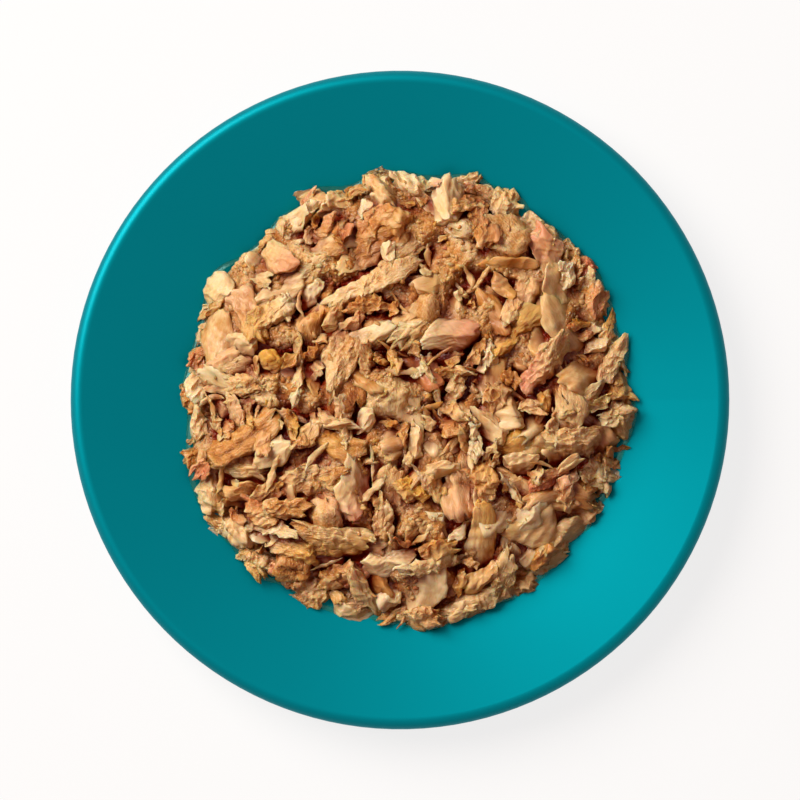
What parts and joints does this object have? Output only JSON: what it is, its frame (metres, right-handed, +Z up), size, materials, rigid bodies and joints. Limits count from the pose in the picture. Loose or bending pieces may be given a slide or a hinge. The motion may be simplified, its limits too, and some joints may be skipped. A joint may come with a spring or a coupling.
{
  "type": "plate of flaked wet cat food",
  "caption": "Round shallow plate with a broad sloping rim and a rolled lip, holding a low round heap of flaked and shredded wet cat food.",
  "frame": {"origin": "middle of the foot ring, on the surface that the plate stands on", "axes": "+Z up, through the middle of the plate; +X and +Y lie along the surface that it stands on"},
  "size_m": [0.16, 0.16, 0.0237],
  "materials": {
    "glaze": "gloss",
    "meat": "satin"
  },
  "bodies": {
    "root": {"plate": "glaze", "food_heap": "meat"}
  },
  "joints": []
}
